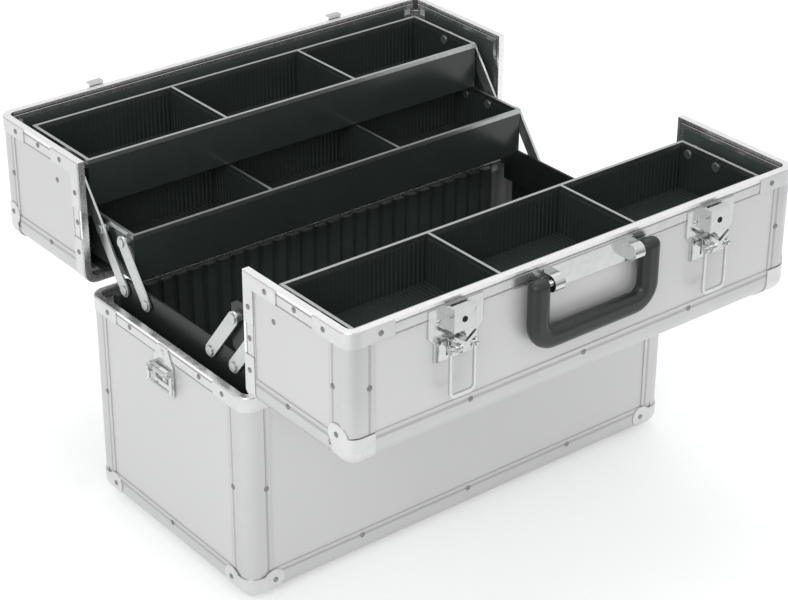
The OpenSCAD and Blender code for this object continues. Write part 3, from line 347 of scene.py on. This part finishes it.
def quarterTube(side, low, end):
    # a quarter of a tube round the rounded edge by side and low: x and y are its centre plus radius
    # times cosine and sine, on a grid of two radii, the angles and two distances from the end
    look = postFootLook
    angle = np.linspace(math.pi, 1.5 * math.pi, look["steps"] + 1)[None, :, None]
    radii = np.array([look["outerMm"], look["outerMm"] - look["wallMm"]])[:, None, None] * mm
    corner = look["cornerMm"] * mm
    levels = end + np.array([look["fromMm"], look["toMm"]]) * mm
    shape = (2, look["steps"] + 1, 2)
    across = np.broadcast_to(side + corner + radii * np.cos(angle), shape)
    depth = np.broadcast_to(low + corner + radii * np.sin(angle), shape)
    outer, inner = np.arange(np.prod(shape)).reshape(shape)
    quads = [np.stack([outer[:-1, 0], outer[1:, 0], outer[1:, 1], outer[:-1, 1]], -1),
             np.stack([inner[1:, 0], inner[:-1, 0], inner[:-1, 1], inner[1:, 1]], -1),
             np.stack([outer[1:, 0], outer[:-1, 0], inner[:-1, 0], inner[1:, 0]], -1),
             np.stack([outer[:-1, 1], outer[1:, 1], inner[1:, 1], inner[:-1, 1]], -1),
             np.array([[outer[0, 0], outer[0, 1], inner[0, 1], inner[0, 0]],
                       [outer[-1, 1], outer[-1, 0], inner[-1, 0], inner[-1, 1]]])]
    return across.ravel(), depth.ravel(), np.broadcast_to(levels, shape).ravel(), np.concatenate(quads)


def makePostFeet(name, body, tube, corners, lying, material):
    # the same tube, upright or lying along the depth, set into each corner by the signs of its
    # coordinates; an odd number of turned signs turns its faces round
    across, depth, along, quads = tube
    base = np.stack([across, along, depth] if lying else [across, depth, along], -1)
    points = [base * np.array(signs) for signs in corners]
    faces = [(quads[:, ::-1] if (np.prod(signs) < 0) != lying else quads) + number * len(base)
             for number, signs in enumerate(corners)]
    makePiece(name, np.concatenate(points), np.concatenate(faces), material, body)


postSide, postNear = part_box("body_corner_posts")[0][:2]
bodyTube = quarterTube(postSide, postNear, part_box("body_bottom_edges")[0][2])
makePostFeet("bodyPostFeet", "body", bodyTube, ((1, 1, 1), (-1, 1, 1), (-1, -1, 1), (1, -1, 1)),
             False, bodyExtrusion)
lidSide, lidFace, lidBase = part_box("front_lid_edge_bars")[0]
lidTube = quarterTube(lidSide, lidBase, lidFace)
for name, body, side in (("frontLidPostFeet", "front_lid", 1), ("rearLidPostFeet", "rear_lid", -1)):
    makePostFeet(name, body, lidTube, ((1, side, 1), (-1, side, 1)), True, lidExtrusion)
print("case shell: done")


# black polystyrene sheet, vacuum formed into ribs: low sheen, rubbed lighter here and there
linerLook = {"black": "#39403E", "rubbed": "#505957", "roughness": 0.36, "dustMm": 25,
             "grainMm": 1000 / 900, "grainDepthMm": 0.08, "edgeMm": 0.8}


def vacuumFormedLiner():
    look = linerLook
    material, tree, place = blankMaterial("vacuumFormedLiner")
    dust = addNode(tree, "ShaderNodeTexNoise", Vector=place, Scale=1000 / look["dustMm"],
                   Detail=4.0).outputs[0]
    grain = addNode(tree, "ShaderNodeTexNoise", Vector=place, Scale=1000 / look["grainMm"],
                    Detail=2.0).outputs[0]
    tone = addNode(tree, "ShaderNodeMix", colourMix, i0=dust, i6=linearHex(look["black"]),
                   i7=linearHex(look["rubbed"])).outputs[2]
    edge = addNode(tree, "ShaderNodeBevel", bevelRays, Radius=look["edgeMm"] * mm).outputs[0]
    bump = addNode(tree, "ShaderNodeBump", Height=grain, Strength=0.5,
                   Distance=look["grainDepthMm"] * mm, Normal=edge).outputs[0]
    shader = addNode(tree, "ShaderNodeBsdfPrincipled", Base_Color=tone,
                     Roughness=look["roughness"], Normal=bump).outputs[0]
    addNode(tree, "ShaderNodeOutputMaterial", Surface=shader)
    return material


# injection moulded polystyrene: glossy, with faint flow clouds from the mould
trayLook = {"black": "#2B3230", "light": "#343B39", "roughness": (0.21, 0.24), "cloudMm": 1000 / 30,
            "grainMm": 1000 / 1500, "grainDepthMm": 0.02, "edgeMm": 0.6}


def mouldedPolystyrene():
    look = trayLook
    material, tree, place = blankMaterial("mouldedPolystyrene")
    cloud = addNode(tree, "ShaderNodeTexNoise", Vector=place, Scale=1000 / look["cloudMm"],
                    Detail=3.0).outputs[0]
    grain = addNode(tree, "ShaderNodeTexNoise", Vector=place, Scale=1000 / look["grainMm"],
                    Detail=1.0).outputs[0]
    tone = addNode(tree, "ShaderNodeMix", colourMix, i0=cloud, i6=linearHex(look["black"]),
                   i7=linearHex(look["light"])).outputs[2]
    rough = addNode(tree, "ShaderNodeMapRange", i0=cloud, i1=noiseLow, i2=noiseHigh,
                    i3=look["roughness"][0], i4=look["roughness"][1]).outputs[0]
    edge = addNode(tree, "ShaderNodeBevel", bevelRays, Radius=look["edgeMm"] * mm).outputs[0]
    bump = addNode(tree, "ShaderNodeBump", Height=grain, Strength=0.2,
                   Distance=look["grainDepthMm"] * mm, Normal=edge).outputs[0]
    shader = addNode(tree, "ShaderNodeBsdfPrincipled", Base_Color=tone, Roughness=rough,
                     Normal=bump).outputs[0]
    addNode(tree, "ShaderNodeOutputMaterial", Surface=shader)
    return material


# fine upright ribs moulded all round the inside of each bay, and along its floor; the wave is given
# in shares of its pitch, the gaps to corners and walls in shares of the ribs' reach
ribLook = {"pitchMm": 4.4, "wave": (0.0, 0.38, 0.5, 0.88), "reachMm": 0.75, "footMm": 0.2,
           "rootMm": 0.3, "cornerGap": 1.5, "floorGap": 2, "floorShare": 0.8, "topGapMm": 3.3,
           "wallMm": 2.0, "dividerMm": 1.6, "trayMm": 420.0, "heightMm": 42.5, "trimMm": 0.5, "bays": 3}


def ribWave(length):
    # places along a side and how far the ribs stand out there: a trapezoid wave, low, up, high, down
    count = max(1, round(length / (ribLook["pitchMm"] * mm)))
    pitch = length / count
    places = (np.arange(count)[:, None] * pitch + np.array(ribLook["wave"]) * pitch).ravel()
    foot, crest = ribLook["footMm"], ribLook["reachMm"]
    return places, np.tile(np.array([foot, foot, crest, crest]) * mm, count)


def bayRibs(left, right, near, far, low, high):
    # a closed band: the bay's plan, moved inwards by the wave on its inner face and kept plain at
    # its back
    margin = ribLook["reachMm"] * mm * ribLook["cornerGap"]
    root = ribLook["rootMm"] * mm
    sides = (((left, near), (1, 0), (0, 1), right - left), ((right, near), (0, 1), (-1, 0), far - near),
             ((right, far), (-1, 0), (0, -1), right - left), ((left, far), (0, -1), (1, 0), far - near))
    inner, outer = [], []
    for start, ahead, inward, length in sides:
        places, reach = ribWave(length - 2 * margin)
        along = np.array(start) + (places + margin)[:, None] * np.array(ahead)
        inner.append(along + reach[:, None] * np.array(inward))
        outer.append(along - root * np.array(inward))
    inner, outer = np.concatenate(inner), np.concatenate(outer)
    count = len(inner)
    rows = [np.column_stack([plan, np.full(count, z)]) for plan in (inner, outer) for z in (low, high)]
    here = np.arange(count)
    there = (here + 1) % count
    faces = [np.stack([here, here + count, there + count, there], -1),
             np.stack([there, there + count, here + count, here], -1) + 2 * count,
             np.stack([here + count, here + 3 * count, there + 3 * count, there + count], -1),
             np.stack([there, there + 2 * count, here + 2 * count, here], -1)]
    return np.concatenate(rows), np.concatenate(faces)


def floorRibs(left, right, near, far, low):
    # a closed slab whose top follows the same wave across the bay
    margin = ribLook["reachMm"] * mm * ribLook["floorGap"]
    places, reach = ribWave(right - left - 2 * margin)
    count = len(places)
    x = left + margin + places
    levels = (low + reach * ribLook["floorShare"], np.full(count, low - ribLook["rootMm"] * mm))
    rows = [np.column_stack([x, np.full(count, y), z])
            for y in (near + margin, far - margin) for z in levels]
    here = np.arange(count - 1)
    last = count - 1
    faces = [np.stack([here, here + 1, here + 1 + 2 * count, here + 2 * count], -1),
             np.stack([here + count, here + 3 * count, here + 1 + 3 * count, here + 1 + count], -1),
             np.stack([here, here + count, here + 1 + count, here + 1], -1),
             np.stack([here + 2 * count, here + 1 + 2 * count, here + 1 + 3 * count,
                       here + 3 * count], -1),
             np.array([[0, 2 * count, 3 * count, count],
                       [last, last + count, last + 3 * count, last + 2 * count]])]
    return np.concatenate(rows), np.concatenate(faces)


def makeTrayRibs(name, trayNode, material):
    # the bays lie side by side between the tray's end walls, a divider apart; each tray is a body of
    # its own, named as its node is
    trimLow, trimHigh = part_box(trayNode + "_trim")
    wall = ribLook["wallMm"] * mm
    divider = ribLook["dividerMm"] * mm
    near = trimLow[1] + ribLook["trimMm"] * mm + wall
    far = trimHigh[1] - ribLook["trimMm"] * mm - wall
    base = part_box(trayNode)[0][2]
    floor = base + wall
    top = base + (ribLook["heightMm"] - ribLook["topGapMm"]) * mm
    inside = ribLook["trayMm"] * mm - 2 * wall
    bay = (inside - (ribLook["bays"] - 1) * divider) / ribLook["bays"]
    points, faces, total = [], [], 0
    for number in range(ribLook["bays"]):
        left = -inside / 2 + number * (bay + divider)
        for rows, quads in (bayRibs(left, left + bay, near, far, floor - ribLook["rootMm"] * mm, top),
                            floorRibs(left, left + bay, near, far, floor)):
            points.append(rows)
            faces.append(quads + total)
            total += len(rows)
    makePiece(name, np.concatenate(points), np.concatenate(faces), material, trayNode)


# aluminium strip rolled over the tray's edge: satin, a little darker than the case's frame
trimLook = {"metal": "#A6AAA8", "rubbed": "#BFC3C1", "metallic": 1.0, "roughness": 0.32, "rubMm": 5}


def rolledTrimStrip():
    look = trimLook
    material, tree, place = blankMaterial("rolledTrimStrip")
    rub = addNode(tree, "ShaderNodeTexNoise", Vector=place, Scale=1000 / look["rubMm"],
                  Detail=3.0).outputs[0]
    tone = addNode(tree, "ShaderNodeMix", colourMix, i0=rub, i6=linearHex(look["metal"]),
                   i7=linearHex(look["rubbed"])).outputs[2]
    shader = addNode(tree, "ShaderNodeBsdfPrincipled", Base_Color=tone, Metallic=look["metallic"],
                     Roughness=look["roughness"]).outputs[0]
    addNode(tree, "ShaderNodeOutputMaterial", Surface=shader)
    return material


# aluminium flat bar, blanked and tumbled: dull silver, tiny scratches, edges rounded bright by the
# tumbling
barLook = {"metal": "#B9BDBB", "bright": "#D3D6D5", "metallic": 0.9, "roughness": 0.3,
           "scratchMm": 1000 / 300, "scratchDepthMm": 0.03, "edgeMm": 0.6}


def tumbledFlatBar():
    look = barLook
    material, tree, place = blankMaterial("tumbledFlatBar")
    scratch = addNode(tree, "ShaderNodeTexNoise", Vector=place, Scale=1000 / look["scratchMm"],
                      Detail=4.0, Roughness=0.7).outputs[0]
    tone = addNode(tree, "ShaderNodeMix", colourMix, i0=scratch, i6=linearHex(look["metal"]),
                   i7=linearHex(look["bright"])).outputs[2]
    edge = addNode(tree, "ShaderNodeBevel", bevelRays, Radius=look["edgeMm"] * mm).outputs[0]
    bump = addNode(tree, "ShaderNodeBump", Height=scratch, Strength=0.4,
                   Distance=look["scratchDepthMm"] * mm, Normal=edge).outputs[0]
    shader = addNode(tree, "ShaderNodeBsdfPrincipled", Base_Color=tone, Metallic=look["metallic"],
                     Roughness=look["roughness"], Normal=bump).outputs[0]
    addNode(tree, "ShaderNodeOutputMaterial", Surface=shader)
    return material


# bent sheet steel with black stoving enamel: smooth, a low sheen with a faint orange peel
enamelLook = {"black": "#181B1B", "worn": "#232827", "roughness": 0.42, "peelMm": 2.0,
              "peelDepthMm": 0.04, "edgeMm": 0.5}


def stovedEnamelSteel():
    look = enamelLook
    material, tree, place = blankMaterial("stovedEnamelSteel")
    peel = addNode(tree, "ShaderNodeTexNoise", Vector=place, Scale=1000 / look["peelMm"],
                   Detail=2.0).outputs[0]
    tone = addNode(tree, "ShaderNodeMix", colourMix, i0=peel, i6=linearHex(look["black"]),
                   i7=linearHex(look["worn"])).outputs[2]
    edge = addNode(tree, "ShaderNodeBevel", bevelRays, Radius=look["edgeMm"] * mm).outputs[0]
    bump = addNode(tree, "ShaderNodeBump", Height=peel, Strength=0.4,
                   Distance=look["peelDepthMm"] * mm, Normal=edge).outputs[0]
    shader = addNode(tree, "ShaderNodeBsdfPrincipled", Base_Color=tone,
                     Roughness=look["roughness"], Normal=bump).outputs[0]
    addNode(tree, "ShaderNodeOutputMaterial", Surface=shader)
    return material


liner = vacuumFormedLiner()
flatBar = tumbledFlatBar()
trimStrip = rolledTrimStrip()
enamel = stovedEnamelSteel()
tray = mouldedPolystyrene()

for name in nodes:
    if name.endswith("liners"):
        dress(liner, name)
    elif name.endswith("_arms"):
        dress(flatBar, name)
    elif name.endswith("_trim"):
        dress(trimStrip, name)

# the studs that the arms turn on are bright. On a tray they lie past the trim's end, and their heads
# lie between two distances inside it, some way above the tray's base. On the brackets they lie near
# the arms' outer face and no lower than just under the arms
studLook = {"headMm": 4.1, "wallMm": 2.6, "upMm": 20.0, "bracketMm": 2.6, "underMm": 1.0}
trayRibs = {"rear_upper_tray": "rearUpperTrayRibs", "rear_mid_tray": "rearMidTrayRibs",
            "front_tray": "frontTrayRibs"}
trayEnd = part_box("rear_upper_tray_trim")[1][0]
headFace = trayEnd - studLook["headMm"] * mm
wallFace = trayEnd - studLook["wallMm"] * mm
for name, ribs in trayRibs.items():
    dress(tray, name)
    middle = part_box(name)[0][2] + studLook["upMm"] * mm
    dressWhere(flatBar, name, lambda across, depth, height: (across > trayEnd) |
               ((across > headFace) & (across < wallFace) & (height > middle)))
    makeTrayRibs(ribs, name, tray)

# the rims' inner skirts are dressed in the liner's black, which makes them dark; they lie within these
# distances across and in depth, and above this height, all in mm
innerSkirts = {"body_rim_frame": (223.6, 106.6, 0.0), "front_lid_rim_frame": (223.6, 240.8, 206.6),
               "rear_lid_rim_frame": (223.6, 240.8, 206.6)}
for name, (reach, deep, above) in innerSkirts.items():
    dressWhere(liner, name, lambda across, depth, height: (across < reach * mm) &
               (np.abs(depth) < deep * mm) & (height > above * mm))

armsLow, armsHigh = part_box("rear_long_arms")
studLow = armsLow[2] - studLook["underMm"] * mm
bracketFace = armsHigh[0] - studLook["bracketMm"] * mm
dress(enamel, "tray_brackets", "front_coupler_plates")
dressWhere(flatBar, "front_coupler_plates", lambda across, depth, height: across > trayEnd)
dressWhere(flatBar, "tray_brackets", lambda across, depth, height: (across > bracketFace) &
           (height > studLow))
print("linings, trays and arms: done")


# foamed vinyl moulded over a steel core: dark grey skin with a leather grain, drawn coarser than the
# real one, so that it shows
gripLook = {"skin": "#1D2322", "light": "#272D2C", "roughness": 0.38, "poreMm": 1.5,
            "poreDepthMm": 0.1, "cloudMm": 1000 / 45}


def foamedVinylGrip():
    look = gripLook
    material, tree, place = blankMaterial("foamedVinylGrip")
    pores = addNode(tree, "ShaderNodeTexVoronoi", Vector=place,
                    Scale=1000 / look["poreMm"]).outputs[0]
    cloud = addNode(tree, "ShaderNodeTexNoise", Vector=place, Scale=1000 / look["cloudMm"],
                    Detail=3.0).outputs[0]
    tone = addNode(tree, "ShaderNodeMix", colourMix, i0=cloud, i6=linearHex(look["skin"]),
                   i7=linearHex(look["light"])).outputs[2]
    bump = addNode(tree, "ShaderNodeBump", Height=pores, Strength=0.35,
                   Distance=look["poreDepthMm"] * mm).outputs[0]
    shader = addNode(tree, "ShaderNodeBsdfPrincipled", Base_Color=tone,
                     Roughness=look["roughness"], Normal=bump).outputs[0]
    addNode(tree, "ShaderNodeOutputMaterial", Surface=shader)
    return material


# natural rubber, compression moulded: matt, dark grey, dusty, with its grain drawn coarser than the
# real one
rubberLook = {"dark": "#161717", "dusty": "#262727", "roughness": 0.8, "grainMm": 1.4,
              "grainDepthMm": 0.1}


def mouldedRubberFoot():
    look = rubberLook
    material, tree, place = blankMaterial("mouldedRubberFoot")
    grain = addNode(tree, "ShaderNodeTexNoise", Vector=place, Scale=1000 / look["grainMm"],
                    Detail=2.0).outputs[0]
    tone = addNode(tree, "ShaderNodeMix", colourMix, i0=grain, i6=linearHex(look["dark"]),
                   i7=linearHex(look["dusty"])).outputs[2]
    bump = addNode(tree, "ShaderNodeBump", Height=grain, Strength=0.5,
                   Distance=look["grainDepthMm"] * mm).outputs[0]
    shader = addNode(tree, "ShaderNodeBsdfPrincipled", Base_Color=tone,
                     Roughness=look["roughness"], Normal=bump).outputs[0]
    addNode(tree, "ShaderNodeOutputMaterial", Surface=shader)
    return material


# turned brass lock cylinder, chemically blackened
lockLook = {"black": "#0E0E0E", "rubbed": "#242423", "metallic": 0.3, "roughness": 0.45,
            "rubMm": 2.5}


def blackenedLockBrass():
    look = lockLook
    material, tree, place = blankMaterial("blackenedLockBrass")
    rub = addNode(tree, "ShaderNodeTexNoise", Vector=place, Scale=1000 / look["rubMm"],
                  Detail=3.0).outputs[0]
    tone = addNode(tree, "ShaderNodeMix", colourMix, i0=rub, i6=linearHex(look["black"]),
                   i7=linearHex(look["rubbed"])).outputs[2]
    shader = addNode(tree, "ShaderNodeBsdfPrincipled", Base_Color=tone, Metallic=look["metallic"],
                     Roughness=look["roughness"]).outputs[0]
    addNode(tree, "ShaderNodeOutputMaterial", Surface=shader)
    return material


dress(foamedVinylGrip(), "handle_grip")
dress(mouldedRubberFoot(), "body_feet")
dress(blackenedLockBrass(), "latch_locks")
print("handle, lock and feet: done")


# the floor's corners and the painted shade on its front end, which only reflections show, are in metres
floorLook = {"paper": "#E6E7E7", "fibre": "#EAEBEB", "fibreMm": 1000 / 6, "dark": "#1E1E1E",
             "paintedShadeFrom": 0.5, "paintedShadeTo": 1.2, "paintedShadeShare": 0.25, "lift": 0.32,
             "corners": ((-6, -4), (6, 9))}


def makeFloor():
    # matt paper sweep; it glows a little to the eye and in reflections, so that the background stays
    # white, and its front end is painted dark for reflections only, a painted shade that gives the
    # metal its contrast
    look = floorLook
    (left, front), (right, back) = look["corners"]
    mesh = bpy.data.meshes.new("studioFloor")
    mesh.from_pydata([(left, front, 0), (right, front, 0), (right, back, 0), (left, back, 0)], [],
                     [(0, 1, 2, 3)])
    floor = bpy.data.objects.new("studioFloor", mesh)
    bpy.context.scene.collection.objects.link(floor)
    material, tree, place = blankMaterial("paperSweep")
    rays = addNode(tree, "ShaderNodeLightPath").outputs
    seen = addNode(tree, "ShaderNodeMath", maximum, i0=rays["Is Camera Ray"],
                   i1=rays["Is Glossy Ray"]).outputs[0]
    glow = addNode(tree, "ShaderNodeMath", multiply, i0=seen, i1=look["lift"]).outputs[0]
    fibre = addNode(tree, "ShaderNodeTexNoise", Vector=place, Scale=1000 / look["fibreMm"],
                    Detail=2.0).outputs[0]
    paper = addNode(tree, "ShaderNodeMix", colourMix, i0=fibre, i6=linearHex(look["paper"]),
                    i7=linearHex(look["fibre"])).outputs[2]
    depth = addNode(tree, "ShaderNodeSeparateXYZ", i0=place).outputs[1]
    # painted shade on the floor's front end, which only glossy rays see
    shade = addNode(tree, "ShaderNodeMapRange", smoothStep, i0=depth, i1=-look["paintedShadeTo"],
                    i2=-look["paintedShadeFrom"], i3=1.0 - look["paintedShadeShare"], i4=0.0).outputs[0]
    unlit = addNode(tree, "ShaderNodeMath", multiply, i0=shade, i1=rays["Is Glossy Ray"]).outputs[0]
    lit = addNode(tree, "ShaderNodeMath", subtract, i0=1.0, i1=unlit).outputs[0]
    strength = addNode(tree, "ShaderNodeMath", multiply, i0=glow, i1=lit).outputs[0]
    tone = addNode(tree, "ShaderNodeMix", colourMix, i0=unlit, i6=paper,
                   i7=linearHex(look["dark"])).outputs[2]
    matt = addNode(tree, "ShaderNodeBsdfDiffuse", Color=tone).outputs[0]
    lift = addNode(tree, "ShaderNodeEmission", Strength=strength).outputs[0]
    both = addNode(tree, "ShaderNodeAddShader", i0=matt, i1=lift).outputs[0]
    addNode(tree, "ShaderNodeOutputMaterial", Surface=both)
    mesh.materials.append(material)


# strengths of the sky, and how far above the horizon its reflection is at its full strength
skyLook = {"diffuse": 0.72, "high": 1.0, "low": 0.5, "fullAt": 0.6}


def makeSky():
    # white to the eye; in reflections it falls off towards the horizon, which gives the metal its
    # contrast
    look = skyLook
    world = bpy.data.worlds.new("studioSky")
    bpy.context.scene.world = world
    world.use_nodes = True
    tree = world.node_tree
    tree.nodes.clear()
    direction = addNode(tree, "ShaderNodeTexCoord").outputs["Generated"]
    height = addNode(tree, "ShaderNodeSeparateXYZ", i0=direction).outputs[2]
    shine = addNode(tree, "ShaderNodeMapRange", i0=height, i1=0.0, i2=look["fullAt"],
                    i3=look["low"], i4=look["high"]).outputs[0]
    rays = addNode(tree, "ShaderNodeLightPath").outputs
    clear = addNode(tree, "ShaderNodeMath", maximum, i0=rays["Is Glossy Ray"],
                    i1=rays["Is Transmission Ray"]).outputs[0]
    level = addNode(tree, "ShaderNodeMix", i0=clear, i2=look["diffuse"], i3=shine).outputs[0]
    white = addNode(tree, "ShaderNodeMath", maximum, i0=level, i1=rays["Is Camera Ray"]).outputs[0]
    sky = addNode(tree, "ShaderNodeBackground", Color=(1, 1, 1, 1), Strength=white).outputs[0]
    addNode(tree, "ShaderNodeOutputWorld", Surface=sky)


# place, target, size and watts of each soft box
lampLook = {"keyLight": ((-2.3, -1.5, 1.9), (0, 0, 0.2), (1.6, 1.6), 26),
            "frontFill": ((0.3, -2.6, 0.7), (0, 0, 0.12), (2.2, 1.0), 3),
            "topLight": ((0.4, 0.6, 2.6), (0, 0, 0.2), (2.0, 2.0), 14)}


def makeLamps():
    for name, (place, target, size, watts) in lampLook.items():
        light = bpy.data.lights.new(name, "AREA")
        light.shape = "RECTANGLE"
        light.size, light.size_y = size
        light.energy = watts
        lamp = bpy.data.objects.new(name, light)
        lamp.location = place
        aim = Vector(target) - Vector(place)
        lamp.rotation_euler = aim.to_track_quat("-Z", "Y").to_euler()
        bpy.context.scene.collection.objects.link(lamp)


# lens and sensor in mm, angles in degrees, the rest in metres; right and up move the aim sideways
cameraLook = {"lens": 100.6, "sensor": 36.0, "azimuth": -38.42, "elevation": 28.51, "roll": 0.19,
              "distance": 1.9165, "aim": (0.0, 0.0, 0.1573), "right": 0.00563, "up": 0.00188}


def makeCamera():
    look = cameraLook
    azimuth, elevation, roll = (math.radians(look[turn]) for turn in ("azimuth", "elevation", "roll"))
    level = math.cos(elevation)
    back = Vector((math.sin(azimuth) * level, -math.cos(azimuth) * level, math.sin(elevation)))
    right = Vector((math.cos(azimuth), math.sin(azimuth), 0))
    up = back.cross(right)
    target = Vector(look["aim"]) + right * look["right"] + up * look["up"]
    turned = right * math.cos(roll) + up * math.sin(roll)
    axes = Matrix((turned, back.cross(turned), back)).transposed()
    data = bpy.data.cameras.new("catalogueCamera")
    data.lens = look["lens"]
    data.sensor_width = look["sensor"]
    camera = bpy.data.objects.new("catalogueCamera", data)
    camera.matrix_world = Matrix.Translation(target + back * look["distance"]) @ axes.to_4x4()
    bpy.context.scene.collection.objects.link(camera)
    bpy.context.scene.camera = camera


makeFloor()
makeSky()
makeLamps()
makeCamera()
bpy.context.scene.view_settings.view_transform = "Standard"
print("floor, light and camera: done")
